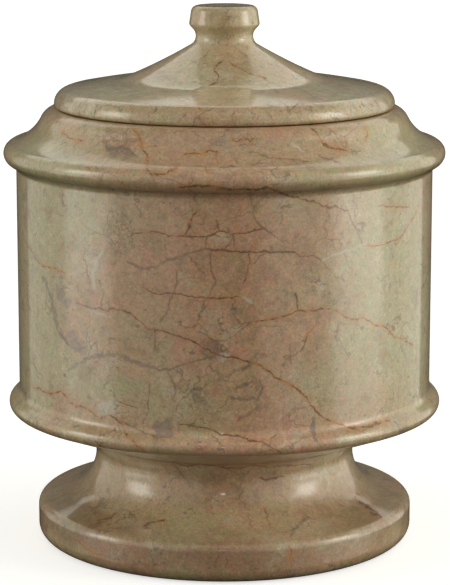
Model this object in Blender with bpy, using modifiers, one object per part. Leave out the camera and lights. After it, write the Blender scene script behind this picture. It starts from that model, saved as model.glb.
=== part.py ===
"""Cremation urn of polished marble: a hollow body on a flared foot, and a lid with a knob that lifts off.

The urn stands on z = 0 with its axis on Z. Lengths are in metres and angles in radians.
Both pieces are turned work: an outline of radius and height, carried once round the axis.
An outline is drawn as a string pulled taut past a row of round pegs, the way a turner's drawing
is struck from centres: rolls stand out, coves are hollowed in, and straight runs join them.
"""
import math

import bpy

# Foot and stem
FOOT_RADIUS = 0.0914            # outer edge of the foot
FOOT_EDGE_HEIGHT = 0.0197       # from the table to the top of the foot's edge
FOOT_EDGE_LOWER_ROUND = 0.0068
FOOT_EDGE_UPPER_ROUND = 0.0043
STEM_RADIUS = 0.0629            # narrowest part, between foot and body
STEM_RISE = 0.0224              # from the foot's edge to the stem
STEM_BAND = 0.0010              # straight stretch of the stem
FLARE_ROUND = 0.0206            # hollow that spreads from the stem to the foot
UNDERBODY_RISE = 0.0246         # from the stem to the middle of the lower ring
UNDERBODY_ROUND = 0.0086        # hollow between the stem and the underside of the body

# Body
BODY_RADIUS = 0.1000            # outside of the straight wall
RING_SPACING = 0.1214           # between the middles of the two rings
LOWER_RING_PROUD = 0.0050       # how far the ring stands out from the wall
LOWER_RING_ROUND = 0.0041
LOWER_RING_COVE = 0.0045
UPPER_RING_PROUD = 0.0060
UPPER_RING_ROUND = 0.0053
UPPER_RING_COVE = 0.0033
SHOULDER_RISE = 0.0214          # from the middle of the upper ring to the seat of the lid
SHOULDER_ROUND = 0.0226         # long hollow of the shoulder
RIM_INSET = 0.0113              # how far the rim lies inside the straight wall
RIM_ROUND = 0.0081

# Hollow
WALL = 0.0120
FLOOR_ABOVE_RING = 0.0065       # cavity floor above the lowest point of the lower ring
CAVITY_ROUND = 0.0080
SEAT_WIDTH = 0.0106             # flat ring that carries the lid
MOUTH_HEIGHT = 0.0110           # from the flat seat down to where the mouth starts to open out
MOUTH_ROUND = 0.0020            # where the mouth opens into the cavity
MOUTH_EDGE_ROUND = 0.0008

# Lid
LID_GAP = 0.0003                # between the seat and the underside of the lid
LID_OVERHANG = 0.0010           # how far the lid's edge stands past the flat seat
LID_EDGE_CENTRE = 0.0016        # middle of the edge's large round, above the underside
LID_EDGE_UPPER_ROUND = 0.0073
LID_EDGE_LOWER_ROUND = 0.0019
LID_HEIGHT = 0.0479             # from the underside to the top of the knob
CONE_ROUND = 0.2600             # very shallow hollow of the cone between neck and plate
PLATE_COVE_RADIUS = 0.0549      # centre of the hollow between the lid's cone and its plate
PLATE_COVE_CENTRE = 0.0372      # height of that centre above the underside
PLATE_COVE_ROUND = 0.0246
REGISTER_DEPTH = 0.0060         # plug under the lid that keeps it centred in the mouth
REGISTER_CLEARANCE = 0.0010
REGISTER_ROUND = 0.0010

# Knob
NECK_RADIUS = 0.0137
NECK_ROUND = 0.0048
NECK_DROP = 0.0040              # from the underside of the knob to the middle of the neck
KNOB_PROUD = 0.0031             # how far the knob stands out from the neck
KNOB_TAPER = 0.0008             # how much the knob narrows towards its top
KNOB_HEIGHT = 0.0104
KNOB_LOWER_ROUND = 0.0020
KNOB_UPPER_ROUND = 0.0031

# Facets
TURN_STEPS = 56                 # sides of each turned circle
CHORD_ERROR = 0.00018           # how far a facet may cut inside a round of the outline
MERGE_DISTANCE = 0.00001
COVE_SHARE = 0.98               # most of its room that a cove between two rolls may take

# Heights above the table, from the foot up
stem_height = FOOT_EDGE_HEIGHT + STEM_RISE
lower_ring_height = stem_height + STEM_BAND + UNDERBODY_RISE
upper_ring_height = lower_ring_height + RING_SPACING
seat_height = upper_ring_height + SHOULDER_RISE
lid_height = seat_height + LID_GAP
floor_height = lower_ring_height - LOWER_RING_ROUND + FLOOR_ABOVE_RING

# Radii that follow the wall of the body
cavity_radius = BODY_RADIUS - WALL
rim_radius = BODY_RADIUS - RIM_INSET
seat_radius = rim_radius - RIM_ROUND
mouth_radius = seat_radius - SEAT_WIDTH
lid_radius = seat_radius + LID_OVERHANG
register_radius = mouth_radius - REGISTER_CLEARANCE


def corner(radius, height):
    """Peg of no size: a sharp corner of the outline."""
    return radius, height, 0.0


def roll(radius, height, size):
    """Convex peg, inside the stone. The string turns right around it."""
    return radius, height, -size


def cove(radius, height, size):
    """Hollow peg, outside the stone. The string turns left around it."""
    return radius, height, size


def heading_between(peg, following):
    """Direction of the straight run between two pegs, as an angle from +X towards +Z."""
    across = following[0] - peg[0]
    up = following[1] - peg[1]
    lean = (following[2] - peg[2]) / math.hypot(across, up)
    return math.atan2(up, across) - math.asin(max(-1.0, min(1.0, lean)))


def round_peg(peg, arriving, leaving):
    """Points of the arc that the string makes on one peg, cut finely enough for CHORD_ERROR."""
    radius, height, size = peg
    if size == 0.0:
        return [(radius, height)]
    turn = (leaving - arriving + math.pi) % math.tau - math.pi
    facet = 2.0 * math.acos(1.0 - CHORD_ERROR / abs(size))
    count = max(1, math.ceil(abs(turn) / facet))
    headings = [arriving + turn * step / count for step in range(count + 1)]
    return [(radius + size * math.sin(a), height - size * math.cos(a)) for a in headings]


def taut_string(pegs):
    """Outline of a string pulled taut past the pegs. The stone lies on the string's right."""
    headings = [heading_between(a, b) for a, b in zip(pegs, pegs[1:])]
    points = [pegs[0][:2]]
    for peg, arriving, leaving in zip(pegs[1:-1], headings, headings[1:]):
        points += round_peg(peg, arriving, leaving)
    return points + [pegs[-1][:2]]


def cove_room(reach, drop, size):
    """Largest cove that touches an upright wall and still clears a roll of the given size.

    The roll's centre lies reach outside the wall and drop below the cove's centre.
    """
    return (reach ** 2 + drop ** 2 - size ** 2) / (2.0 * (reach + size))


def cove_on_wall(wall_radius, size, bead, side):
    """Cove that touches an upright wall and a bead. It lies above the bead (side 1) or below it (-1)."""
    bead_radius, bead_height, bead_size = bead
    across = wall_radius + size - bead_radius
    rise = math.sqrt((size - bead_size) ** 2 - across ** 2)
    return cove(wall_radius + size, bead_height + side * rise, size)


def cove_between(upper, lower, size):
    """Cove on the outer side of two pegs, touching both: past a roll, or around a smaller cove."""
    across = lower[0] - upper[0]
    up = lower[1] - upper[1]
    apart = math.hypot(across, up)
    to_upper = size - upper[2]
    to_lower = size - lower[2]
    along = (to_upper ** 2 - to_lower ** 2 + apart ** 2) / (2.0 * apart)
    aside = math.sqrt(to_upper ** 2 - along ** 2)
    radius = upper[0] + (along * across - aside * up) / apart
    height = upper[1] + (along * up + aside * across) / apart
    return cove(radius, height, size)


def cavity_outline():
    """Inside of the vessel, from the middle of its floor up to the flat seat of the lid."""
    side = cavity_radius - CAVITY_ROUND
    return [
        corner(0.0, floor_height),
        cove(side, floor_height + CAVITY_ROUND, CAVITY_ROUND),
        cove(side, upper_ring_height, CAVITY_ROUND),
        roll(mouth_radius + MOUTH_ROUND, seat_height - MOUTH_HEIGHT, MOUTH_ROUND),
        roll(mouth_radius + MOUTH_EDGE_ROUND, seat_height - MOUTH_EDGE_ROUND, MOUTH_EDGE_ROUND),
    ]


def body_outline():
    """Outside of the vessel, from the rim down over the rings and the stem to the foot's edge."""
    rim = roll(seat_radius, seat_height - RIM_ROUND, RIM_ROUND)
    upper_ring = roll(BODY_RADIUS + UPPER_RING_PROUD - UPPER_RING_ROUND, upper_ring_height,
                      UPPER_RING_ROUND)
    lower_ring = roll(BODY_RADIUS + LOWER_RING_PROUD - LOWER_RING_ROUND, lower_ring_height,
                      LOWER_RING_ROUND)
    return [
        rim,
        cove_between(rim, upper_ring, SHOULDER_ROUND),
        upper_ring,
        cove_on_wall(BODY_RADIUS, UPPER_RING_COVE, upper_ring, -1),
        cove_on_wall(BODY_RADIUS, LOWER_RING_COVE, lower_ring, 1),
        lower_ring,
        cove(STEM_RADIUS + UNDERBODY_ROUND, stem_height + STEM_BAND, UNDERBODY_ROUND),
    ]


def foot_outline():
    """The flare under the stem, the foot's rounded edge and its flat underside."""
    edge_centre = FOOT_RADIUS - FOOT_EDGE_UPPER_ROUND
    edge_height = FOOT_EDGE_HEIGHT - FOOT_EDGE_UPPER_ROUND
    room = cove_room(edge_centre - STEM_RADIUS, stem_height - edge_height, FOOT_EDGE_UPPER_ROUND)
    flare = min(FLARE_ROUND, COVE_SHARE * room)
    return [
        cove(STEM_RADIUS + flare, stem_height, flare),
        roll(edge_centre, edge_height, FOOT_EDGE_UPPER_ROUND),
        roll(FOOT_RADIUS - FOOT_EDGE_LOWER_ROUND, FOOT_EDGE_LOWER_ROUND, FOOT_EDGE_LOWER_ROUND),
        corner(0.0, 0.0),
    ]


def knob_outline():
    """Knob and neck, from the middle of the knob's top down to the cone of the lid."""
    top = lid_height + LID_HEIGHT
    underside = top - KNOB_HEIGHT
    lower_centre = NECK_RADIUS + KNOB_PROUD - KNOB_LOWER_ROUND
    upper_centre = NECK_RADIUS + KNOB_PROUD - KNOB_TAPER - KNOB_UPPER_ROUND
    room = cove_room(lower_centre - NECK_RADIUS, NECK_DROP + KNOB_LOWER_ROUND, KNOB_LOWER_ROUND)
    neck = min(NECK_ROUND, COVE_SHARE * room)
    return [
        corner(0.0, top),
        roll(upper_centre, top - KNOB_UPPER_ROUND, KNOB_UPPER_ROUND),
        roll(lower_centre, underside + KNOB_LOWER_ROUND, KNOB_LOWER_ROUND),
        cove(NECK_RADIUS + neck, underside - NECK_DROP, neck),
    ]


def lid_outline():
    """The whole lid: knob, cone, plate and edge, and the register that drops into the mouth."""
    knob = knob_outline()
    plate = cove(PLATE_COVE_RADIUS, lid_height + PLATE_COVE_CENTRE, PLATE_COVE_ROUND)
    return knob + [
        cove_between(knob[-1], plate, CONE_ROUND),
        plate,
        roll(lid_radius - LID_EDGE_UPPER_ROUND, lid_height + LID_EDGE_CENTRE, LID_EDGE_UPPER_ROUND),
        roll(lid_radius - LID_EDGE_LOWER_ROUND, lid_height + LID_EDGE_LOWER_ROUND,
             LID_EDGE_LOWER_ROUND),
        corner(register_radius, lid_height),
        roll(register_radius - REGISTER_ROUND, seat_height - REGISTER_DEPTH + REGISTER_ROUND,
             REGISTER_ROUND),
        corner(0.0, seat_height - REGISTER_DEPTH),
    ]


def polished_marble(name, colour):
    """Warm polished stone: no metal, a low roughness."""
    material = bpy.data.materials.new(name)
    material.use_nodes = True
    shader = material.node_tree.nodes["Principled BSDF"]
    shader.inputs["Base Color"].default_value = (*colour, 1.0)
    shader.inputs["Roughness"].default_value = 0.18
    shader.inputs["Metallic"].default_value = 0.0
    material.diffuse_color = (*colour, 1.0)
    return material


def turned(name, pegs, material, collection):
    """A solid of revolution: the outline as a row of edges at +X, and a Screw modifier."""
    outline = taut_string(pegs)
    mesh = bpy.data.meshes.new(name)
    mesh.from_pydata([(radius, 0.0, height) for radius, height in outline],
                     [(i, i + 1) for i in range(len(outline) - 1)], [])
    mesh.materials.append(material)
    piece = bpy.data.objects.new(name, mesh)
    collection.objects.link(piece)
    screw = piece.modifiers.new("Turned", "SCREW")
    screw.axis = "Z"
    screw.angle = math.tau
    screw.steps = TURN_STEPS
    screw.render_steps = TURN_STEPS
    screw.use_merge_vertices = True
    screw.merge_threshold = MERGE_DISTANCE
    screw.use_smooth_shade = True
    return piece


def main():
    for old in list(bpy.data.objects):
        bpy.data.objects.remove(old)
    urn = bpy.data.collections.new("cremation_urn")
    bpy.context.scene.collection.children.link(urn)
    turned("urn_body", cavity_outline() + body_outline() + foot_outline(),
           polished_marble("beige_marble", (0.42, 0.32, 0.22)), urn)
    turned("lid", lid_outline(),
           polished_marble("beige_marble_lid", (0.45, 0.37, 0.26)), urn)


main()
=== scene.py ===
# %% [markdown]
# A cremation urn of polished marble. It is two pieces of turned stone: a hollow vessel with its rings,
# stem and foot in one, and a lid with a knob that lifts off. The solids are already worked out and are
# loaded as a fixed frame. This lesson makes the surface that is seen: fine, smooth turned meshes in the
# place of the faceted solids, a marble worked out from noise and from fractures that run through the
# block, and a small photographer's studio round the urn.

# %% Load the frame
import functools
import math

import bpy
import numpy as np
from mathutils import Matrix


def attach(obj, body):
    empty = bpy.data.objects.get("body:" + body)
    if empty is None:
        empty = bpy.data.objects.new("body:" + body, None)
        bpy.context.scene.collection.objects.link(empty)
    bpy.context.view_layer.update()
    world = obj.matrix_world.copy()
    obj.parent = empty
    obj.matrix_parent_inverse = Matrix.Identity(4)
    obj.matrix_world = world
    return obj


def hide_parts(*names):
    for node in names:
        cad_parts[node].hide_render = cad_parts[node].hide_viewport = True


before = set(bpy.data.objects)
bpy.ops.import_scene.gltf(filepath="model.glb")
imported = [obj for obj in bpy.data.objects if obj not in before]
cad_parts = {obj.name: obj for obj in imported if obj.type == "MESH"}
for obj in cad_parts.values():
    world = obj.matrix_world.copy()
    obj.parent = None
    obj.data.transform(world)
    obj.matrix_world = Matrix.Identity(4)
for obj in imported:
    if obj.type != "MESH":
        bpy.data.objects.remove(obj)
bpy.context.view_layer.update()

# %% [markdown]
# The outline of a turned piece is drawn as a turner's drawing is struck from centres. It is a string
# pulled taut past a row of round pegs. A peg inside the stone gives a roll, a peg outside gives a cove,
# and a peg of no size is a sharp corner. Each peg is its radius from the axis, its height and its size:
# plus for a cove, minus for a roll. Between two pegs the string is straight. This gives an outline with
# no kinks from a few centres, so it stays smooth when it is cut into as many points as the mesh needs.

# %% Draw an outline past round pegs
ARC_STEP = math.radians(6)      # largest turn of the outline between two points
LONGEST_RUN = 0.006             # longest stretch between two points
SAME_POINT = 1e-7               # points closer than this are one


def heading_between(peg, following):
    """Angle of the straight run: the centres' direction less the arcsine of size change over distance."""
    across, up, grow = following - peg
    return math.atan2(up, across) - math.asin(max(-1.0, min(1.0, grow / math.hypot(across, up))))


def arc_on(peg, arriving, leaving):
    """Rows (radius, height, heading) of the string on a peg: centre plus size times (sin, -cos)."""
    turn = (leaving - arriving + math.pi) % math.tau - math.pi
    cuts = math.ceil(max(abs(turn) / ARC_STEP, abs(turn * peg[2]) / LONGEST_RUN)) if peg[2] else 0
    heading = arriving + turn * np.linspace(0, 1, cuts + 1)
    radius, height, size = peg
    return np.stack([radius + size * np.sin(heading), height - size * np.cos(heading), heading], axis=-1)


def straight_run(start, end):
    """Rows strictly between two rows: start plus share times the difference, closer than LONGEST_RUN."""
    cuts = math.ceil(np.hypot(*(end - start)[:2]) / LONGEST_RUN)
    share = np.arange(1, cuts)[:, None] / max(cuts, 1)
    places = start[:2] + share * (end - start)[:2]
    return np.concatenate([places, np.full((len(share), 1), end[2])], axis=1)


def taut_string(pegs):
    """Rows (radius, height, heading): an arc on each peg between its headings, and cut straight runs."""
    pegs = np.array(pegs)
    headings = [heading_between(a, b) for a, b in zip(pegs, pegs[1:])]
    ends = [headings[0], *headings, headings[-1]]
    arcs = [arc_on(peg, ends[i], ends[i + 1]) for i, peg in enumerate(pegs)]
    rows = [arcs[0][:1]]
    for arc in arcs[1:]:
        rows += [straight_run(rows[-1][-1], arc[0]), arc]
    rows = np.concatenate(rows)
    step = np.hypot(*np.diff(rows[:, :2], axis=0).T)
    return rows[np.append(True, step > SAME_POINT)]


print("a quarter turn is cut into at least", round(math.radians(90) / ARC_STEP), "pieces")

# %% [markdown]
# The vessel's sizes are the solid's own, in metres. Its inside runs from the middle of the floor up to
# the flat seat of the lid, and its outside from the rim down over the two rings and the waist to the
# foot. Heights are counted up from the table.

# %% Sizes of the vessel
WALL_RADIUS = 0.1000            # outside of the straight wall
FOOT_RADIUS = 0.0914
STEM_RADIUS = 0.0629
STEM_HEIGHT = 0.0421
LOWER_RING_HEIGHT = 0.0677
UPPER_RING_HEIGHT = 0.1891
SEAT_HEIGHT = 0.2105
SEAT_RADIUS = 0.0806
MOUTH_RADIUS = 0.0700
CAVITY_SIDE = 0.0800            # centre of the cavity's round corners, 8 mm inside its wall
CAVITY_ROUND = 0.0080
FLOOR_HEIGHT = 0.0701


def cove_on_wall(size, bead, side):
    """Cove that touches the wall and a bead: size out from the wall, and both sizes from the bead."""
    across = WALL_RADIUS + size - bead[0]
    rise = math.sqrt((size - bead[2]) ** 2 - across ** 2)
    return WALL_RADIUS + size, bead[1] + side * rise, size


def cove_between(upper, lower, size):
    """Cove that touches two pegs: circles round their centres cross at its centre, on the outer side."""
    across, up = lower[0] - upper[0], lower[1] - upper[1]
    apart = math.hypot(across, up)
    along = ((size - upper[2]) ** 2 - (size - lower[2]) ** 2 + apart ** 2) / (2 * apart)
    aside = math.sqrt((size - upper[2]) ** 2 - along ** 2)
    return (upper[0] + (along * across - aside * up) / apart,
            upper[1] + (along * up + aside * across) / apart, size)


rim = (SEAT_RADIUS, SEAT_HEIGHT - 0.0081, -0.0081)
upper_ring = (0.1007, UPPER_RING_HEIGHT, -0.0053)
lower_ring = (0.1009, LOWER_RING_HEIGHT, -0.0041)
vessel_pegs = [
    (0.0, FLOOR_HEIGHT, 0.0),
    (CAVITY_SIDE, FLOOR_HEIGHT + CAVITY_ROUND, CAVITY_ROUND),
    (CAVITY_SIDE, UPPER_RING_HEIGHT, CAVITY_ROUND),
    (MOUTH_RADIUS + 0.0020, SEAT_HEIGHT - 0.0110, -0.0020),
    (MOUTH_RADIUS + 0.0008, SEAT_HEIGHT - 0.0008, -0.0008),
    rim,
    cove_between(rim, upper_ring, 0.0226),
    upper_ring,
    cove_on_wall(0.0033, upper_ring, -1),
    cove_on_wall(0.0045, lower_ring, 1),
    lower_ring,
    (STEM_RADIUS + 0.0086, STEM_HEIGHT + 0.0010, 0.0086),
    (STEM_RADIUS + 0.0206, STEM_HEIGHT, 0.0206),
    (FOOT_RADIUS - 0.0043, 0.0154, -0.0043),
    (FOOT_RADIUS - 0.0068, 0.0068, -0.0068),
    (0.0, 0.0, 0.0),
]
vessel_outline = taut_string(vessel_pegs)
print("vessel outline:", len(vessel_outline), "points")

# %% [markdown]
# The lid is a disc with a thick rounded edge, a wide cove that sweeps up into a cone, a narrow neck and
# a knob. Under it a shallow plug, the register, drops into the mouth and keeps the lid in its place.

# %% Sizes of the lid
LID_HEIGHT = 0.2108             # underside of the lid
LID_RADIUS = 0.0816
KNOB_TOP = 0.2587
REGISTER_RADIUS = 0.0690
REGISTER_HEIGHT = 0.2045        # underside of the register
NECK_RADIUS = 0.0137
KNOB_RADIUS = 0.0168

neck = (NECK_RADIUS + 0.0048, KNOB_TOP - 0.0144, 0.0048)
plate = (0.0549, LID_HEIGHT + 0.0372, 0.0246)
swell = (-0.0126, LID_HEIGHT - 0.4396, -0.4570)
lid_pegs = [
    (0.0, KNOB_TOP, 0.0),
    (KNOB_RADIUS - 0.0039, KNOB_TOP - 0.0031, -0.0031),
    (KNOB_RADIUS - 0.0020, KNOB_TOP - 0.0084, -0.0020),
    neck,
    cove_between(neck, plate, 0.2600),
    plate,
    swell,
    (LID_RADIUS - 0.0073, LID_HEIGHT + 0.0016, -0.0073),
    (LID_RADIUS - 0.0019, LID_HEIGHT + 0.0019, -0.0019),
    (REGISTER_RADIUS, LID_HEIGHT, 0.0),
    (REGISTER_RADIUS - 0.0010, REGISTER_HEIGHT + 0.0010, -0.0010),
    (0.0, REGISTER_HEIGHT, 0.0),
]
lid_outline = taut_string(lid_pegs)
print("lid outline:", len(lid_outline), "points")

# %% [markdown]
# A lathe gives a surface of revolution, so each piece is a grid: one parameter runs along the outline,
# the other round the axis. The two ends of the outline lie on the axis, where each closes in one point.

# %% Turn an outline into a mesh
TURN_STEPS = 300


def swept(across, up):
    """Points or normals (across cos a, across sin a, up) for each angle a, and both ends on the axis."""
    angle = np.arange(TURN_STEPS) * math.tau / TURN_STEPS
    rings = np.stack([np.outer(across[1:-1], np.cos(angle)), np.outer(across[1:-1], np.sin(angle)),
                      np.outer(up[1:-1], np.ones(TURN_STEPS))], axis=-1)
    return np.concatenate([rings.reshape(-1, 3), [[0, 0, up[0]], [0, 0, up[-1]]]])


def turned(name, outline):
    """Surface (r cos a, r sin a, z) for each outline point (r, z) and angle a, closed at both poles."""
    radius, height, heading = outline.T
    points = swept(radius, height)
    rings = len(outline) - 2
    ring, step = np.meshgrid(np.arange(rings - 1), np.arange(TURN_STEPS), indexing="ij")
    here, beyond = ring * TURN_STEPS + step, ring * TURN_STEPS + (step + 1) % TURN_STEPS
    quads = np.stack([here, here + TURN_STEPS, beyond + TURN_STEPS, beyond], axis=-1).reshape(-1, 4)
    step = np.arange(TURN_STEPS)
    around = (step + 1) % TURN_STEPS
    last = (rings - 1) * TURN_STEPS
    first_fan = np.stack([np.full(TURN_STEPS, len(points) - 2), step, around], axis=-1)
    last_fan = np.stack([np.full(TURN_STEPS, len(points) - 1), last + around, last + step], axis=-1)
    mesh = bpy.data.meshes.new(name)
    mesh.from_pydata(points.tolist(), [], quads.tolist() + first_fan.tolist() + last_fan.tolist())
    mesh.shade_smooth()
    mesh.normals_split_custom_set_from_vertices(swept(-np.sin(heading), np.cos(heading)).tolist())
    piece = bpy.data.objects.new(name, mesh)
    bpy.context.scene.collection.objects.link(piece)
    print(name, len(points), "points,", 2 * len(quads) + 2 * TURN_STEPS, "triangles")
    return piece


vessel = turned("urn_body_marble", vessel_outline)
lid = turned("lid_marble", lid_outline)
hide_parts("urn_body")
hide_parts("lid")
for piece in (vessel, lid):
    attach(piece, "root")

# %% [markdown]
# Marble is drawn with shader nodes. To keep the sums readable, a small class wraps one output socket.
# Adding or multiplying two wrapped sockets adds a Math node to the material, and any other node comes
# from one method.

# %% Write node sums as Python expressions


class Flow:
    """One output socket of a node tree. Arithmetic on it gives the socket of a new Math node."""

    def __init__(self, socket):
        self.socket = socket

    def node(self, kind, settings, sockets, output=0):
        """Add a node of that kind: first its settings, then the values or links of its input sockets."""
        tree = self.socket.id_data
        made = tree.nodes.new(kind)
        for key, value in settings.items():
            if key == "curve":
                fill_curve(made.mapping, value)
            else:
                setattr(made, key, value)
        for key, value in sockets.items():
            if isinstance(value, Flow):
                tree.links.new(value.socket, made.inputs[key])
            else:
                made.inputs[key].default_value = value
        return Flow(made.outputs[output])

    def math(self, operation, *values):
        """Add a Math node with this socket as its first value."""
        return self.node("ShaderNodeMath", {"operation": operation}, dict(enumerate((self, *values))))

    def __add__(self, other):
        return self.math("ADD", other)

    def __radd__(self, other):
        return self.math("ADD", other)

    def __sub__(self, other):
        return self.math("SUBTRACT", other)

    def __rsub__(self, other):
        return self.math("MULTIPLY_ADD", -1.0, other)

    def __mul__(self, other):
        return self.math("MULTIPLY", other)

    def __rmul__(self, other):
        return self.math("MULTIPLY", other)

    def __abs__(self):
        return self.math("ABSOLUTE")

    def __pow__(self, other):
        return self.math("POWER", other)


def fill_curve(mapping, points):
    """Set a Float Curve through a list of points (x, y), straight from one to the next."""
    mapping.use_clip = False
    curve = mapping.curves[0]
    while len(curve.points) < len(points):
        curve.points.new(0.5, 0.5)
    for point, (x, y) in zip(curve.points, points):
        point.location = (x, y)
        point.handle_type = "VECTOR"
    mapping.update()


print("operators of a socket:", [name for name in vars(Flow) if name.startswith("__") and name != "__init__"])

# %% [markdown]
# The veins of this urn are cracks that ran through the block before it was turned, and that filled with
# rust, clay or calcite. Each was read off the photograph as a row of pixels. To put a crack on the
# stone, its pixels are sent out along the camera's rays until they meet the turned outline. So the
# camera's place is settled first.

# %% Where the camera stands
FRAME = (450, 585)              # width and height of the photograph, in pixels
CAMERA_PLACE = (0.0, -1.1997, 0.3549)
CAMERA_TILT = math.radians(11.106)
CAMERA_LENS = 154.66            # millimetres, for a frame 36 mm high
CAMERA_SENSOR = 36.0
CAMERA_SHIFT = 0.001
NEAREST, FURTHEST = 1.0, 1.4    # metres along a ray between which it is followed
RAY_STEPS = 4001

outer_rows = np.concatenate([
    lid_outline[lid_outline[:, 1] >= LID_HEIGHT],
    vessel_outline[np.argmax(vessel_outline[:, 1]):],
])[::-1]


def on_stone(pixels):
    """Place (mm) where each pixel's ray, camera + t * direction, first is within the outline's radius."""
    focal = CAMERA_LENS / CAMERA_SENSOR * FRAME[1]
    across = (np.array(pixels)[:, 0] - FRAME[0] / 2) / focal + CAMERA_SHIFT * FRAME[1] / focal
    down = (np.array(pixels)[:, 1] - FRAME[1] / 2) / focal
    sine, cosine = math.sin(CAMERA_TILT), math.cos(CAMERA_TILT)
    direction = np.stack([across, cosine - down * sine, -sine - down * cosine], axis=-1)
    reach = np.linspace(NEAREST, FURTHEST, RAY_STEPS)
    along = np.array(CAMERA_PLACE) + reach[None, :, None] * direction[:, None, :]
    outline_radius = np.interp(along[..., 2], outer_rows[:, 1], outer_rows[:, 0])
    first = np.argmax(np.hypot(along[..., 0], along[..., 1]) < outline_radius, axis=1)
    return 1000 * along[np.arange(len(first)), first]


print("front of the wall:", on_stone([(225, 300)]).round(1))

# %% [markdown]
# The names say where each crack runs. Behind each name stand the kind, half the width in millimetres, and
# the pixels it runs through. Orange ones hold rust, rusty ones a darker and redder rust, brown ones rust
# and clay, grey ones are tight and dark, mauve ones are soft bands of clay, and white ones are calcite.

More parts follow.
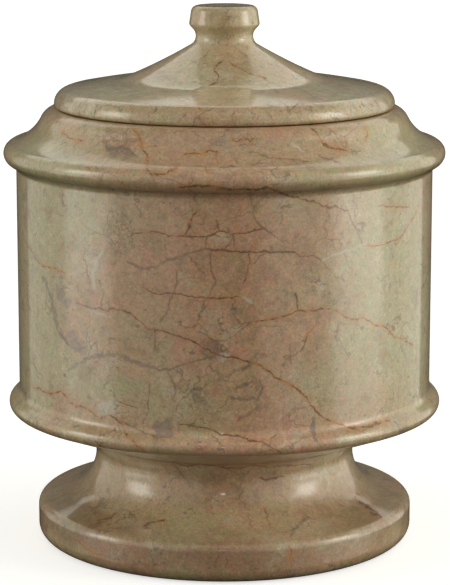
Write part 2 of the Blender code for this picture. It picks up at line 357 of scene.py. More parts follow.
# %% Cracks read off the photograph
CRACKS = {
    "under the upper ring": ("brown", 0.75, [
        (178, 187), (200, 185.5), (210, 185), (219, 188), (235, 189), (256, 189), (268, 186),
        (275, 191), (285, 193.5), (292, 197), (299, 197.5), (308, 202), (318, 203), (328, 207),
        (337, 207), (347, 211)]),
    "from its right end down": ("grey", 0.5, [(348, 212), (353, 224), (359, 235), (364, 246)]),
    "left edge, upper": ("orange", 0.55, [
        (24, 240), (31, 250), (37, 261), (44, 266), (52, 267), (66, 273)]),
    "left to middle": ("rusty", 0.6, [
        (74, 296), (76, 302), (83, 305), (90, 308), (99, 308), (107, 311), (113, 308), (124, 311),
        (132, 315), (138, 320), (147, 327), (155, 331), (162, 330), (171, 334), (184, 338), (193, 341),
        (202, 347), (212, 352), (224, 356), (232, 357), (241, 359), (251, 363)]),
    "middle to right": ("orange", 0.65, [
        (253, 322), (264, 320), (278, 318), (289, 315), (297, 311), (308, 311), (318, 310), (328, 308),
        (336, 311), (344, 315), (352, 319), (366, 319), (375, 324), (387, 328), (395, 337), (403, 340),
        (415, 345)]),
    "dark link in the middle": ("grey", 0.65, [
        (198, 332), (207, 335), (214, 341), (227, 341), (235, 335), (241, 329), (253, 322)]),
    "big lower, right half": ("orange", 0.8, [
        (251, 362), (261, 366), (269, 372), (277, 378), (283, 381), (291, 386), (300, 391), (307, 398),
        (310, 405), (318, 413), (324, 418), (332, 422), (340, 425), (353, 428), (367, 426),
        (391, 420)]),
    "upper middle": ("brown", 0.55, [
        (128, 238), (136, 234), (151, 232), (159, 232), (168, 236), (182, 236), (204, 237), (212, 235),
        (219, 231), (233, 234), (245, 233), (254, 230), (264, 229)]),
    "upper middle, branch up": ("brown", 0.6, [
        (181, 237), (186, 232), (190, 226), (191, 219), (197, 209)]),
    "upper middle, short drop left": ("grey", 0.4, [(166, 236), (165, 243), (166, 250)]),
    "upper middle, drop": ("grey", 0.5, [(208, 236), (206, 243), (207, 251)]),
    "upper middle, stub up": ("grey", 0.5, [(219, 231), (217, 225), (216, 218)]),
    "upper middle, drop right": ("grey", 0.5, [(233, 234), (233, 240), (234, 247)]),
    "upper middle, off to the right": ("grey", 0.5, [
        (252, 212), (256, 222), (264, 229), (271, 234), (280, 240), (288, 243)]),
    "below the upper middle, left band": ("mauve", 1.1, [
        (126, 261), (138, 266), (145, 269), (156, 267), (165, 261), (176, 258), (191, 253), (204, 249),
        (214, 250)]),
    "below the upper middle": ("brown", 0.6, [
        (208, 250), (225, 250), (237, 252), (248, 252), (261, 252), (275, 252), (280, 251), (292, 252),
        (302, 256), (312, 256), (321, 260)]),
    "below the upper middle, long drop": ("brown", 0.55, [
        (248, 252), (249, 262), (247, 275), (244, 284)]),
    "below the upper middle, left drop": ("grey", 0.6, [
        (210, 252), (210, 262), (212, 272), (216, 282), (213, 288)]),
    "right end to the edge": ("orange", 0.5, [
        (366, 246), (374, 246), (388, 243), (401, 237), (406, 229), (414, 217), (419, 206)]),
    "top right, faint": ("orange", 0.4, [(379, 205), (391, 206), (403, 207), (411, 208)]),
    "white, right": ("white", 0.6, [(321, 261), (333, 255), (342, 252), (353, 249), (366, 243)]),
    "fine red line": ("rusty", 0.45, [
        (140, 286), (150, 292), (161, 295), (176, 293), (185, 295), (194, 297), (207, 298), (225, 298),
        (243, 297)]),
    "dark line down to the middle": ("grey", 0.5, [
        (178, 270), (177, 282), (174, 292), (169, 300), (168, 310), (162, 319), (158, 325)]),
    "short dark, middle": ("grey", 0.55, [(155, 331), (155, 341), (154, 351)]),
    "left upright": ("grey", 0.5, [(99, 280), (102, 290), (103, 299), (101, 308)]),
    "red branch, right": ("brown", 0.5, [(297, 311), (297, 302), (295, 291)]),
    "dark branch, right": ("brown", 0.45, [(321, 321), (314, 327), (308, 333), (306, 341), (301, 351)]),
    "upright below the middle": ("grey", 0.45, [(291, 344), (290, 354), (291, 364)]),
    "mauve band, left": ("mauve", 1.5, [
        (66, 372), (78, 364), (86, 360), (95, 356), (107, 355), (119, 355), (127, 360), (138, 363),
        (145, 365), (159, 370)]),
    "mauve band, middle": ("mauve", 0.9, [
        (145, 366), (159, 370), (171, 370), (184, 365), (196, 360), (214, 357)]),
    "grey, far left": ("mauve", 1.4, [
        (43, 275), (47, 287), (52, 301), (55, 316), (57, 329), (66, 341), (75, 352)]),
    "pink cloud's edge": ("mauve", 0.9, [(57, 328), (63, 337), (70, 345), (78, 350), (86, 346)]),
    "lower left": ("orange", 0.75, [
        (31, 387), (40, 389), (50, 394), (62, 391), (66, 396), (69, 401), (76, 406), (83, 406),
        (92, 412), (99, 420)]),
    "lower left, over the bead": ("orange", 0.75, [
        (99, 420), (108, 415), (115, 419), (122, 424), (126, 434), (132, 440), (143, 450)]),
    "beside it, dark": ("grey", 0.5, [(120, 421), (129, 425), (138, 429), (149, 434), (158, 438)]),
    "long upright, lower left": ("grey", 0.45, [
        (149, 382), (149, 394), (148, 404), (147, 412), (143, 423)]),
    "short brown, lower left": ("brown", 0.4, [(116, 399), (128, 405), (138, 409)]),
    "short upright, low middle": ("grey", 0.5, [(169, 373), (174, 383), (176, 392), (172, 402)]),
    "low middle": ("rusty", 0.5, [
        (179, 424), (201, 427), (210, 429), (222, 435), (229, 435), (241, 437), (254, 441), (269, 445),
        (283, 453)]),
    "low middle, short": ("brown", 0.4, [(278, 431), (273, 437), (270, 443)]),
    "ring of the fossil, top": ("mauve", 1.1, [
        (227, 380), (233, 372), (241, 370), (249, 366), (254, 361)]),
    "ring of the fossil, bottom": ("mauve", 1.2, [(228, 397), (238, 399), (248, 400), (256, 396)]),
    "ring of the fossil, right": ("mauve", 1.1, [(259, 378), (263, 387), (261, 394), (256, 400)]),
    "dark bit in the fossil": ("grey", 0.9, [(234, 389), (239, 387), (244, 386)]),
    "upper bit in the fossil": ("grey", 0.8, [(246, 384), (250, 382), (255, 381)]),
    "under the fossil": ("mauve", 1.2, [(236, 421), (245, 416), (253, 411), (262, 405)]),
    "low right loop": ("mauve", 1.4, [(314, 416), (312, 424), (313, 433), (318, 444)]),
    "white, left upright": ("white", 0.9, [(103, 250), (98, 257), (95, 265), (93, 275), (94, 290)]),
    "white, below left": ("white", 1.1, [(88, 309), (96, 312), (106, 316)]),
    "white, right of middle": ("white", 0.8, [(241, 297), (248, 300), (256, 303)]),
    "shoulder, left": ("orange", 0.7, [
        (132, 127), (139, 135), (142, 146), (146, 155), (148, 163), (145, 168)]),
    "ring, left": ("orange", 0.75, [(145, 168), (151, 173), (162, 175), (170, 170), (178, 169)]),
    "shoulder, middle": ("orange", 0.8, [(180, 156), (192, 153), (201, 154), (210, 150), (220, 152)]),
    "shoulder, its drop": ("orange", 0.5, [(218, 151), (216, 158), (218, 165)]),
    "ring, middle": ("orange", 0.5, [(204, 165), (206, 169), (209, 174)]),
    "shoulder, right of middle": ("grey", 0.4, [(251, 152), (271, 158), (290, 160), (311, 161)]),
    "shoulder, right": ("orange", 0.7, [(309, 127), (317, 133), (323, 144), (332, 148), (348, 151)]),
    "shoulder, right dark": ("grey", 0.45, [(319, 156), (332, 159), (343, 165)]),
    "shoulder, far right": ("orange", 0.5, [(363, 124), (368, 133), (366, 142)]),
    "white, shoulder": ("white", 0.7, [(291, 143), (298, 147), (305, 153)]),
    "shoulder, rust in the middle": ("orange", 0.9, [
        (230, 139), (236, 142), (243, 138), (250, 142), (256, 137)]),
    "shoulder, dark left": ("mauve", 1.2, [(104, 146), (112, 149), (121, 146), (130, 150), (137, 157)]),
    "shoulder, upper dark left": ("mauve", 0.9, [(108, 133), (114, 139), (121, 141)]),
    "shoulder, far left loop": ("orange", 0.45, [(60, 130), (67, 136), (75, 140), (84, 141)]),
    "stem, left streak": ("rusty", 0.7, [(166, 457), (176, 463), (188, 466), (200, 464), (214, 466)]),
    "stem, long streak": ("rusty", 0.6, [
        (195, 463), (212, 465), (226, 468), (240, 468), (254, 465), (270, 467), (290, 465),
        (312, 464)]),
    "stem, right streak": ("brown", 0.7, [(258, 477), (266, 480), (274, 478), (284, 476)]),
    "stem, left upright": ("grey", 0.6, [(172, 462), (178, 470), (184, 477), (190, 486)]),
    "foot, upright": ("grey", 0.45, [(264, 508), (267, 514), (268, 522), (270, 529)]),
    "foot, dark right": ("mauve", 0.9, [(289, 541), (292, 534), (297, 526), (302, 521), (309, 516)]),
    "foot, rust below it": ("orange", 0.6, [(289, 543), (292, 550), (291, 556), (289, 562)]),
    "foot, left streak": ("brown", 0.6, [(94, 525), (102, 521), (110, 517), (117, 513)]),
    "foot, front streak": ("brown", 0.5, [(143, 525), (151, 524), (159, 521), (167, 519)]),
    "foot, far right": ("rusty", 0.5, [(352, 497), (362, 504), (374, 512), (384, 519)]),
    "foot edge, left rust": ("orange", 0.5, [(74, 536), (82, 545), (92, 552), (104, 556)]),
    "foot edge, middle": ("grey", 0.5, [(226, 558), (227, 563), (225, 570)]),
}
LID_CRACKS = {
    "over the cone": ("brown", 0.5, [(226, 58), (219, 63), (214, 69), (218, 76), (217, 82)]),
    "on the plate": ("brown", 0.4, [(195, 90), (206, 87), (217, 82)]),
    "over the cone, right": ("brown", 0.4, [
        (229, 61), (240, 69), (249, 73), (259, 75), (266, 79), (272, 83)]),
    "cone, upper dash": ("grey", 0.5, [(188, 65), (192, 62), (196, 61)]),
    "cone, right dash": ("grey", 0.45, [(262, 85), (268, 84), (275, 83)]),
    "edge, far left": ("brown", 0.5, [(93, 107), (96, 110), (94, 114), (95, 117)]),
    "edge, left dash": ("grey", 0.6, [(127, 104), (130, 106), (133, 104)]),
    "edge, left of middle": ("rusty", 0.5, [(154, 104), (157, 107), (155, 111), (152, 114)]),
    "edge, middle left": ("grey", 0.55, [(180, 119), (184, 116), (187, 113)]),
    "edge, spot": ("orange", 0.9, [(197, 106), (199, 108), (200, 111)]),
    "edge, middle right": ("grey", 0.7, [(265, 103), (270, 104), (276, 107)]),
    "edge, right dash": ("grey", 0.55, [(267, 114), (270, 117), (273, 120)]),
    "edge, right streak": ("rusty", 0.5, [(291, 110), (295, 106), (300, 103), (305, 104)]),
    "edge, ring": ("orange", 0.5, [(358, 104), (361, 108), (364, 105), (362, 101)]),
    "edge, far right dash": ("grey", 0.7, [(372, 99), (376, 102), (379, 105)]),
}
print(len(CRACKS), "cracks on the vessel,", len(LID_CRACKS), "on the lid")

# %% [markdown]
# A crack goes through the block as a sheet, so what shows is where the sheet meets the turned surface.
# Each sheet is one curve: a lying crack gives its height for each x, an upright one its x for each
# height. A point is on the crack when it is less than the width away from that curve. Behind the axis
# the sheets lean, so the back isn't a mirror image of the front. A little noise on the place makes every
# sheet jagged at once.

# %% Place in the block
BOLDNESS = 1.3                  # how much wider a crack is drawn, since its mask fades towards its edge
STAIN_WIDTH = 2.2               # millimetres of stain on each side of a crack
LEAN_ACROSS = 0.45              # how far a sheet shifts for each millimetre behind the axis
LEAN_UP = -0.3
JAGGED_SIZE = 5.0               # millimetres
JAGGED = 3.2
FRAYED_SIZE = 1.7
FRAYED = 1.5
PAST_END = 1.0                  # millimetres over which a crack fades, past its ends and before them
BEFORE_END = 1.5


def noise(place, size, detail=4.0, roughness=0.5, output="Fac"):
    """Noise whose patches are about size millimetres across; its values lie round a half."""
    return place.node("ShaderNodeTexNoise", {}, {"Vector": place, "Scale": 1.0 / size, "Detail": detail,
                                                 "Roughness": roughness}, output)


def vector_math(operation, first, second, key=1):
    """Add a Vector Math node to the first value's tree."""
    return first.node("ShaderNodeVectorMath", {"operation": operation}, {0: first, key: second})


def warped(place, size, amount):
    """Place plus amount times noise of that size, less a half, in each of the three directions."""
    push = vector_math("SUBTRACT", noise(place, size, 4.0, 0.62, "Color"), (0.5, 0.5, 0.5))
    return vector_math("ADD", place, vector_math("SCALE", push, amount, "Scale"))


def step(value, low, high):
    """0 below low, 1 above high and smooth between; with low above high it falls instead."""
    return value.node("ShaderNodeMapRange", {"interpolation_type": "SMOOTHSTEP", "clamp": False},
                      {"Value": value, "From Min": low, "From Max": high})


def mix(share, start, end):
    """Colour between start and end by share."""
    start, end = (value if isinstance(value, Flow) else (*value, 1.0) for value in (start, end))
    return share.node("ShaderNodeMix", {"data_type": "RGBA"}, {0: share, 6: start, 7: end}, 2)


def parts(vector):
    """The three parts of a vector as three values."""
    first = vector.node("ShaderNodeSeparateXYZ", {}, {0: vector}, 0)
    return tuple(Flow(output) for output in first.socket.node.outputs)


def sheet_place(place):
    """Across and up in the block, jagged by noise and leaning with the depth behind the axis."""
    across, depth, up = parts(warped(warped(place, JAGGED_SIZE, JAGGED), FRAYED_SIZE, FRAYED))
    behind = depth.math("MAXIMUM", 0.0)
    return across + behind * LEAN_ACROSS, up + behind * LEAN_UP


def crack(sheet, pixels, width, thinned):
    """Two masks, the crack and the stain beside it: both fall with the distance and past the ends."""
    points = on_stone(pixels)[:, [0, 2]]
    span = np.ptp(points, axis=0)
    upright = span[1] > span[0]
    along, aside = (sheet[1], sheet[0]) if upright else sheet
    points = points[:, ::-1] if upright else points
    points = points[np.argsort(points[:, 0])]
    slant = math.hypot(*span) / max(span)
    curve = along.node("ShaderNodeFloatCurve", {"curve": points.tolist()}, {"Value": along})
    away = abs(aside - curve)
    low, high = points[0, 0], points[-1, 0]
    half = (high - low) / 2
    ends = step(abs(along - (low + high) / 2), half + PAST_END, half - BEFORE_END)
    line = step(away * thinned, BOLDNESS * width * slant, 0.0)
    stain = step(away, STAIN_WIDTH + width, 0.0)
    return line * ends, stain * ends


print("100 mm behind the axis a sheet is", 100 * LEAN_ACROSS, "mm across and", 100 * LEAN_UP, "mm up")

# %% [markdown]
# The stone itself is a cream limestone clouded with pink. Clouds are noise at three sizes. Where the
# photograph shows a wide area of one colour, a soft pool, an ellipsoid with a ragged edge, pushes the
# clouds that way. Colours are the stone's own, so the light was divided out of the photograph's first.
# The one exception is the painted shade pools: they darken the stone towards brown where shade falls,
# on the foot, under the lower ring, on the shoulder below the lid and on the front of the lid.

# %% Pools of colour
POOLS = {                       # middle (pixels), half width and half height (pixels), strength
    "pink": [
        ((222, 300), 125, 130, 0.55), ((225, 150), 110, 45, 0.45), ((184, 344), 24, 22, 0.5),
        ((122, 305), 20, 10, 0.5), ((280, 420), 70, 40, 0.4), ((225, 445), 150, 16, 0.4),
        ((225, 566), 190, 14, 0.9), ((110, 552), 50, 14, 0.6), ((275, 133), 20, 9, 0.7),
        ((225, 490), 70, 30, 0.45), ((83, 128), 14, 9, 0.5), ((130, 146), 14, 12, 0.5),
        ((310, 313), 22, 12, 0.5), ((75, 337), 16, 11, 0.5)],
    "cream": [
        ((395, 290), 60, 150, 0.6), ((330, 380), 45, 50, 0.4), ((45, 230), 40, 90, 0.5),
        ((100, 385), 50, 22, 0.5), ((85, 220), 35, 45, 0.4), ((400, 150), 50, 30, 0.4),
        ((40, 360), 35, 60, 0.4), ((50, 150), 40, 25, 0.4)],
    "brown": [
        ((49, 307), 7, 20, 0.9), ((122, 238), 11, 26, 0.8), ((150, 285), 40, 18, 0.3),
        ((320, 285), 9, 22, 0.6), ((85, 365), 16, 8, 0.4), ((420, 370), 14, 40, 0.4),
        ((244, 141), 14, 8, 0.9), ((345, 138), 12, 9, 0.8), ((118, 142), 20, 14, 0.6),
        ((90, 425), 40, 16, 0.4), ((255, 392), 14, 18, 0.7)],
    "mauve": [
        ((165, 428), 12, 11, 1.3), ((214, 350), 18, 9, 1.1), ((70, 342), 17, 12, 0.6),
        ((122, 152), 22, 11, 0.55), ((62, 300), 12, 30, 0.4), ((245, 385), 22, 16, 0.35),
        ((30, 400), 16, 20, 0.4), ((110, 400), 30, 12, 0.35)],
    "white": [
        ((221, 357), 9, 6, 0.75), ((320, 290), 8, 22, 0.5), ((106, 406), 18, 13, 0.85),
        ((82, 262), 20, 26, 0.5), ((350, 436), 20, 6, 0.4)],
    # painted shade, not stone colour: darker on the foot, under the lower ring and on the shoulder
    "painted_shade": [
        ((80, 505), 70, 35, 0.45), ((370, 505), 70, 35, 0.45), ((225, 565), 230, 24, 0.5),
        ((225, 470), 90, 14, 0.3), ((225, 150), 100, 30, 0.15), ((75, 545), 50, 24, 0.25)],
}
LID_POOLS = {
    "pink": [((225, 115), 60, 16, 0.3), ((232, 62), 26, 26, 0.35), ((225, 16), 30, 14, 0.2)],
    "cream": [((225, 70), 110, 60, 0.35), ((90, 95), 60, 30, 0.3), ((350, 95), 60, 30, 0.3)],
    "brown": [((309, 104), 12, 6, 0.6), ((95, 111), 6, 8, 0.6)],
    "mauve": [],
    "white": [((90, 90), 90, 30, 0.45), ((350, 90), 90, 30, 0.45)],
    # painted shade on the front of the lid's plate, not stone colour
    "painted_shade": [((225, 92), 34, 10, 0.12)],
}
POOL_DEPTH = 60.0               # half depth of a pool in the block, in millimetres
PIXEL = 0.48                    # millimetres a pixel covers on the front of the wall
POOL_SPREAD = 1.3               # how far a pool's fading edge reaches past its size


def pooled(place, pools):
    """Sum over the pools of strength times a hump that falls from the middle to the ellipsoid's edge."""
    total = 0.0
    for middle, half_width, half_height, strength in pools:
        size = np.array([half_width * PIXEL, POOL_DEPTH, half_height * PIXEL]) * POOL_SPREAD
        scaled = place.node("ShaderNodeMapping", {}, {
            "Vector": place, "Location": tuple(-on_stone([middle])[0] / size), "Scale": tuple(1 / size)})
        reach = scaled.node("ShaderNodeVectorMath", {"operation": "LENGTH"}, {0: scaled}, "Value")
        total = step(reach, 1.0, 0.1) * strength + total
    return total


print(sum(map(len, POOLS.values())), "pools on the vessel,", sum(map(len, LID_POOLS.values())), "on the lid")

# %% Colours of the stone
CREAM = (0.515, 0.455, 0.250)
PALE = (0.66, 0.560, 0.390)
PINK = (0.615, 0.370, 0.225)
ROSE = (0.60, 0.270, 0.175)
TAN = (0.42, 0.290, 0.160)
BROWN = (0.24, 0.160, 0.085)
MAUVE = (0.27, 0.200, 0.160)
SMOKE = (0.22, 0.170, 0.130)
CALCITE = (0.68, 0.640, 0.520)
RUST = (0.60, 0.265, 0.070)
OXIDE = (0.44, 0.165, 0.060)
CLAY = (0.16, 0.095, 0.055)
SLATE = (0.15, 0.150, 0.140)
print("green over red: cream", round(CREAM[1] / CREAM[0], 2), "and pink", round(PINK[1] / PINK[0], 2))

# %% Clouds of colour
BEND = (38.0, 34.0)             # size and reach of the bends in the largest clouds, in millimetres
FOLD = (14.0, 18.0)             # the same for the folds in the smaller clouds
DRIFT = (20.0, 30.0)            # for the mauve films
CURL = (7.0, 9.0)               # for the brown squiggles
RIPPLE = (5.0, 4.0)             # for the flecks
BEDDING = (0.35, 0.35, 1.0)     # the stone's layers lie flat, so their noise is stretched sideways
ELSEWHERE = (40.0, 70.0, 20.0)  # moves a second noise away from the first
BESIDE = (51.0, 33.0, 17.0)     # moves the second kind of specks away from the first


def flecked(colour, place, size, light, hue):
    """Colour times 1 + light * (grey noise - 0.5) and, for each channel, 1 + hue * (noise - 0.5)."""
    grey = noise(place, size, 2.0, 0.65) * light + (1 - light / 2)
    tint = noise(vector_math("ADD", place, ELSEWHERE), size * 1.3, 2.0, 0.6, "Color")
    tint = tint.node("ShaderNodeVectorMath", {"operation": "MULTIPLY_ADD"},
                     {0: tint, 1: (hue,) * 3, 2: (1 - hue / 2,) * 3})
    return vector_math("SCALE", vector_math("MULTIPLY", colour, tint), grey, "Scale")


def clouds(place, pools):
    """The stone without its cracks: cream to pink by large noise and pools, then clouds on top."""
    bent = warped(place, *BEND)
    pink = (noise(bent, 40.0, 5.0, 0.6) - 0.5) * 1.8 + 0.42
    pink = pink + pooled(bent, pools["pink"]) - pooled(bent, pools["cream"])
    colour = mix(step(pink, -0.1, 1.1), CREAM, PINK)
    # paler and darker clouds, then rose ones, which are more common in the pink
    fold = warped(place, *FOLD)
    cloud = noise(fold, 15.0, 7.0, 0.66)
    colour = mix(step(cloud, 0.52, 0.72) * 0.75, colour, PALE)
    colour = mix(step(cloud, 0.48, 0.30) * 0.9, colour, TAN)
    colour = mix(step(noise(fold, 8.0, 5.0, 0.6) + pink * 0.08, 0.60, 0.80) * 0.6, colour, ROSE)
    # thin layers of rose and tan
    layered = fold.node("ShaderNodeMapping", {}, {"Vector": fold, "Scale": BEDDING})
    colour = mix(step(noise(layered, 3.5, 5.0, 0.65), 0.58, 0.74) * 0.5, colour, ROSE)
    colour = mix(step(noise(layered, 5.5, 5.0, 0.65), 0.42, 0.28) * 0.45, colour, TAN)
    # mauve films, brown squiggles, white islands, and painted shade that darkens the stone towards brown
    film = noise(warped(place, *DRIFT), 24.0, 7.0, 0.66)
    colour = mix(step(film + pooled(fold, pools["mauve"]) * 0.35, 0.60, 0.72) * 0.6, colour, MAUVE)
    squiggle = step(abs(noise(warped(place, *CURL), 4.2, 4.0, 0.6) - 0.5), 0.05, 0.0)
    colour = mix(squiggle * step(pooled(bent, pools["brown"]), 0.1, 0.6) * 0.7, colour, BROWN)
    island = pooled(fold, pools["white"]) + noise(fold, 5.0, 5.0, 0.66)
    colour = mix(step(island, 0.7, 1.2) * 0.6, colour, CALCITE)
    # painted shade: pools darken the stone towards brown where shade falls, not a colour of the stone
    colour = mix(pooled(bent, pools["painted_shade"]), colour, BROWN)
    # flecks, pale and dark, and a grain at two sizes
    fleck = noise(warped(place, *RIPPLE), 1.5, 3.0, 0.7)
    colour = mix(step(fleck, 0.60, 0.72) * 0.55, colour, PALE)
    colour = mix(step(fleck, 0.40, 0.28) * 0.65, colour, BROWN)
    return flecked(flecked(colour, place, 3.6, 0.55, 0.27), place, 1.0, 0.85, 0.42)


print("largest clouds bend by up to", BEND[1] / 2, "mm")

# %% [markdown]
# Between the big cracks the stone is crazed with fine ones. They are drawn where a bent noise passes
# through one half, which gives long wandering lines, and along the borders of a bent Voronoi pattern,
# which gives a crackle. A second noise hides most of them. Specks are Voronoi cells that are mostly left
# empty, a little stretched into dashes.

# %% Hairlines and specks
HAIR_BEND = (24.0, 20.0)        # size and reach of the large bends of a hairline, in millimetres
HAIR_JAG = (5.0, 2.6)           # the same for its small jags
CRACKLE = 26.0                  # size of the crackle's cells
SPECK_LEAN = (0.0, math.radians(35), math.radians(20))
SMALLEST_SPECK = 0.03           # as a share of its cell
SPECK_RANGE = 0.10              # how much larger the largest one is


def hairlines(place):
    """1 on a fine crack: at the half level of bent noise, or on a Voronoi border, where noise allows it."""
    bent = warped(warped(place, *HAIR_BEND), *HAIR_JAG)
    level = abs(noise(bent, 30.0, 3.0, 0.55) - 0.5)
    lines = step(level, 0.008, 0.0) * step(noise(place, 15.0), 0.46, 0.60)
    border = bent.node("ShaderNodeTexVoronoi", {"feature": "DISTANCE_TO_EDGE"},
                       {"Vector": bent, "Scale": 1 / CRACKLE}, "Distance")
    crackle = step(border, 0.016, 0.0) * step(noise(place, 19.0, 3.0), 0.45, 0.60)
    return lines.math("MAXIMUM", crackle)


def specks(place, cell, stretch, share):
    """1 near the point of a few Voronoi cells, those whose own random number is within the share."""
    leaning = place.node("ShaderNodeMapping", {}, {
        "Vector": place, "Rotation": SPECK_LEAN, "Scale": (1 / stretch, 1.0, 1.0)})
    spot = leaning.node("ShaderNodeTexVoronoi", {}, {"Vector": leaning, "Scale": 1 / cell}, "Distance")
    chance = parts(Flow(spot.socket.node.outputs["Color"]))
    size = chance[1] * SPECK_RANGE + SMALLEST_SPECK
    return step(spot - size, 0.05, 0.0) * step(chance[0], 1 - share, 1 - share + 0.05)


print("specks lean", round(math.degrees(SPECK_LEAN[1])), "degrees")

# %% [markdown]
# Each material lays these over one another, from the clouds up to the specks. A polished limestone
# reflects twice: sharply from its polish, and widely from the grains just below. The sharp one is the
# Principled shader's coat, and the wide one its own rough reflection.

# %% Marble
KINDS = {                       # filling of each kind of crack, its strength and that of the rust stain
    "orange": (RUST, 0.95, 0.42),
    "rusty": (OXIDE, 0.8, 0.28),
    "brown": (CLAY, 0.85, 0.22),
    "grey": (CLAY, 0.65, 0.05),
    "mauve": (SMOKE, 0.65, 0.0),
    "white": (CALCITE, 0.8, 0.0),
}
POLISH = 0.09                   # roughness of the sharp reflection
HAZE = 0.40                     # roughness of the wide one
STONE_IOR = 1.5
FAINTEST = 0.45                 # strength of a crack where it is faintest, as a share of its full strength


def larger(first, second):
    """The larger of each pair of masks."""
    return [one.math("MAXIMUM", other) for one, other in zip(first, second)]


def marble(name, cracks, pools):
    """Polished marble: clouds, then hairlines, stains, cracks and specks, one over the other."""
    material = bpy.data.materials.new(name)
    material.use_nodes = True
    nodes = material.node_tree.nodes
    shader = nodes["Principled BSDF"]
    shader.inputs["Roughness"].default_value = HAZE
    shader.inputs["IOR"].default_value = STONE_IOR
    shader.inputs["Coat Weight"].default_value = 1.0
    shader.inputs["Coat Roughness"].default_value = POLISH
    metres = Flow(nodes.new("ShaderNodeTexCoord").outputs["Object"])
    place = vector_math("SCALE", metres, 1000.0, "Scale")
    sheet = sheet_place(place)
    colour = clouds(place, pools)
    # noises that every crack shares: where it is faint or thin, what fills it, where its core is dark
    patchy = step(noise(place, 7.0, 4.0, 0.65), 0.34, 0.56)
    thinned = (noise(place, 3.0, 3.0, 0.6) * 2.6 - 0.3) ** -1.0
    rust_or_clay = step(noise(place, 11.0, 3.0, 0.6), 0.42, 0.58)
    core = step(noise(place, 4.0, 3.0, 0.6), 0.38, 0.54)
    colour = mix(hairlines(place) * 0.6, colour, CLAY)
    ragged = noise(place, 2.4, 4.0, 0.7) * 1.5 - 0.75
    for kind, (filling, strength, stained) in KINDS.items():
        chosen = [(pixels, width) for which, width, pixels in cracks.values() if which == kind]
        if not chosen:
            continue
        lines, stains = functools.reduce(larger, (crack(sheet, *drawn, thinned) for drawn in chosen))
        if kind == "mauve":
            lines = step(lines + ragged, 0.38, 0.80)
        if stained > 0:
            colour = mix(stains * patchy * stained, colour, RUST)
        if kind in ("rusty", "brown"):
            filling = mix(rust_or_clay, filling, CLAY if kind == "rusty" else RUST)
        colour = mix(lines * (patchy * (1 - FAINTEST) + FAINTEST) * strength, colour, filling)
        if kind in ("orange", "rusty", "brown"):
            colour = mix(step(lines, 0.45, 0.95) * core * 0.85, colour, CLAY)
    colour = mix(specks(place, 6.0, 2.2, 0.28) * 0.6, colour, SLATE)
    colour = mix(specks(vector_math("ADD", place, BESIDE), 4.0, 1.3, 0.2) * 0.5, colour, CLAY)
    material.node_tree.links.new(colour.socket, shader.inputs["Base Color"])
    print(name, len(nodes), "nodes")
    return material


vessel.data.materials.append(marble("vessel_marble", CRACKS, POOLS))
lid.data.materials.append(marble("lid_marble", LID_CRACKS, LID_POOLS))

# %% [markdown]
# The urn stands on a pale floor. Polished stone shows its surroundings, and the floor would show as a
# bright band in every lower curve, so the floor is hidden from reflections.

# %% Floor
FLOOR_HALF = 6.0                # half the floor's width, in metres
FLOOR_GLOW = 0.6                # a little light of its own, so that it stays pale

floor_mesh = bpy.data.meshes.new("floor")
floor_mesh.from_pydata([(-FLOOR_HALF, -FLOOR_HALF, 0), (FLOOR_HALF, -FLOOR_HALF, 0),
                        (FLOOR_HALF, FLOOR_HALF, 0), (-FLOOR_HALF, FLOOR_HALF, 0)], [], [(0, 1, 2, 3)])
floor = bpy.data.objects.new("floor", floor_mesh)
bpy.context.scene.collection.objects.link(floor)
floor_paint = bpy.data.materials.new("pale_floor")
floor_paint.use_nodes = True
floor_shader = floor_paint.node_tree.nodes["Principled BSDF"]
floor_shader.inputs["Base Color"].default_value = (0.85, 0.85, 0.84, 1.0)
floor_shader.inputs["Roughness"].default_value = 0.9
floor_shader.inputs["Emission Color"].default_value = (1.0, 1.0, 1.0, 1.0)
floor_shader.inputs["Emission Strength"].default_value = FLOOR_GLOW
floor_mesh.materials.append(floor_paint)
floor.visible_glossy = False
floor.visible_diffuse = False
print("the floor is", 2 * FLOOR_HALF, "m wide")

# %% [markdown]
# The light could come from area lamps, but then the edges of every reflection depend on where each lamp
# stands. Here the studio is drawn on the sky instead: each lamp, wall and window is a region between two
# azimuths and two elevations, in degrees, with a soft edge. Azimuth 0 is the camera's side and 180 is
# behind the urn. The strengths were settled by dividing the shading in the photograph by what each
# region alone gives. The camera itself sees a plain pale backdrop.

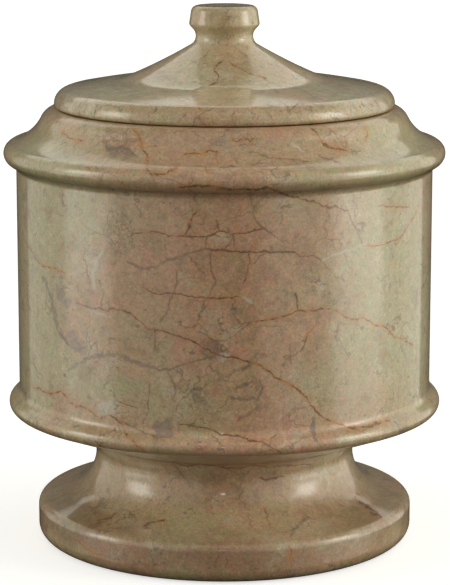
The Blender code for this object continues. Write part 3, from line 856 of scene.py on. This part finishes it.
# %% The light round the urn
STUDIO = {                      # two azimuths, two elevations, softness of the edge, brightness
    "left lamp": (-91, -70, 5, 30, 13, 4.0),
    "round the left lamp": (-100, -62, -4, 42, 8, 0.7),
    "left lamp's gleam on the table": (-98, -64, -14, -4, 12, 2.4),
    "right lamp": (67, 87, 4, 30, 13, 4.6),
    "round the right lamp": (60, 100, -4, 42, 8, 1.3),
    "right lamp's gleam on the table": (62, 98, -14, -4, 12, 3.5),
    "left wall": (-138, -100, -14, 45, 3, 0.7),
    "right wall": (100, 140, -14, 45, 3, 1.05),
    "high back light": (138, 222, 24.8, 52, 2.5, 1.05),
    "small lamp above the camera": (-3, 1, 18, 22, 2, 9.0),
    "front of the room, left": (-62, -20, -14, 45, 12, 0.62),
    "front of the room, right": (20, 60, -14, 45, 12, 0.8),
    "upper front": (-60, 60, 45, 70, 12, 0.55),
    "upper sides left": (-138, -60, 45, 70, 12, 0.15),
    "upper sides right": (60, 138, 45, 70, 12, 0.3),
    "ceiling": (-180, 180, 70, 91, 4, 0.28),
    "backdrop": (138, 222, -14, 25, 4, 0.06),
}
DAYLIGHT = (1.0, 0.98, 0.885, 1.0)
BACKDROP = 0.9                  # brightness of what the camera sees behind the urn

world = bpy.data.worlds.new("studio")
bpy.context.scene.world = world
world.use_nodes = True
sky = world.node_tree
direction = Flow(sky.nodes.new("ShaderNodeTexCoord").outputs["Generated"])
across, away, up = parts(direction)
azimuth = across.math("ARCTAN2", -1.0 * away) * math.degrees(1.0)
elevation = up.math("ARCSINE") * math.degrees(1.0)


def between(angle, low, high, softness):
    """1 between two angles and 0 outside, with soft edges centred on them: two smooth steps multiplied."""
    half = softness / 2
    return step(angle, low - half, low + half) * step(angle, high + half, high - half)


light = 0.0
for name, (start, end, low, high, softness, strength) in STUDIO.items():
    aside = (azimuth - (start + end) / 2 + 540.0).math("MODULO", 360.0) - 180.0
    half = (end - start) / 2
    region = between(aside, -half, half, softness) * between(elevation, low, high, softness) * strength
    region.socket.node.name = name
    light = region + light
background = sky.nodes["Background"]
seen = Flow(sky.nodes.new("ShaderNodeLightPath").outputs["Is Camera Ray"])
light = seen.node("ShaderNodeMix", {"data_type": "FLOAT"}, {0: seen, 2: light, 3: BACKDROP})
sky.links.new(light.socket, background.inputs["Strength"])
background.inputs["Color"].default_value = DAYLIGHT
print(len(STUDIO), "regions of light")

# %% [markdown]
# The camera stands a good metre in front and a little above, and looks down through a long lens, as its
# place was settled above. The long lens keeps the urn's sides nearly parallel.

# %% Camera
camera = bpy.data.objects.new("camera", bpy.data.cameras.new("camera"))
camera.location = CAMERA_PLACE
camera.rotation_euler = (math.pi / 2 - CAMERA_TILT, 0.0, 0.0)
camera.data.lens = CAMERA_LENS
camera.data.sensor_width = CAMERA_SENSOR
camera.data.shift_x = CAMERA_SHIFT
bpy.context.scene.collection.objects.link(camera)
bpy.context.scene.camera = camera
bpy.context.scene.view_settings.view_transform = "Standard"
print("the camera looks down", round(math.degrees(CAMERA_TILT), 1), "degrees")
